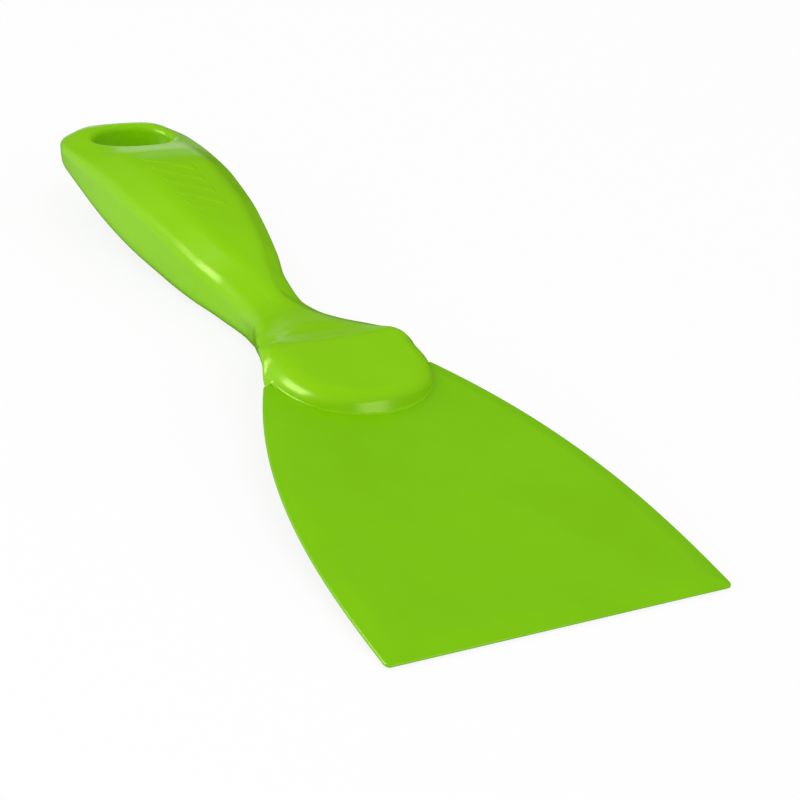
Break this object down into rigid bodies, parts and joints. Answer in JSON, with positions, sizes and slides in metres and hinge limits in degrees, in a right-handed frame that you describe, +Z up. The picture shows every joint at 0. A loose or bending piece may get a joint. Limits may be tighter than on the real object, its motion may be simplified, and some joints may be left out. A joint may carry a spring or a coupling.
{
  "type": "hand scraper",
  "caption": "Plastic hand scraper: a broad thin bevelled blade carried in the bolster of a faceted grip with an oval hanging hole.",
  "frame": {"origin": "on the table, under the middle of the tool's box as it lies on the heel of the blade's front bevel and the belly of the grip", "axes": "+Y from the blade's working edge towards the end of the grip, +X across the blade, +Z up from the table"},
  "size_m": [0.102, 0.2584, 0.0267],
  "materials": {
    "handle_plastic": "satin gloss moulded polypropylene, lime green",
    "blade_plastic": "fine satin moulded polypropylene, lime green"
  },
  "bodies": {
    "root": {"handle": "handle_plastic", "blade": "blade_plastic"}
  },
  "joints": []
}
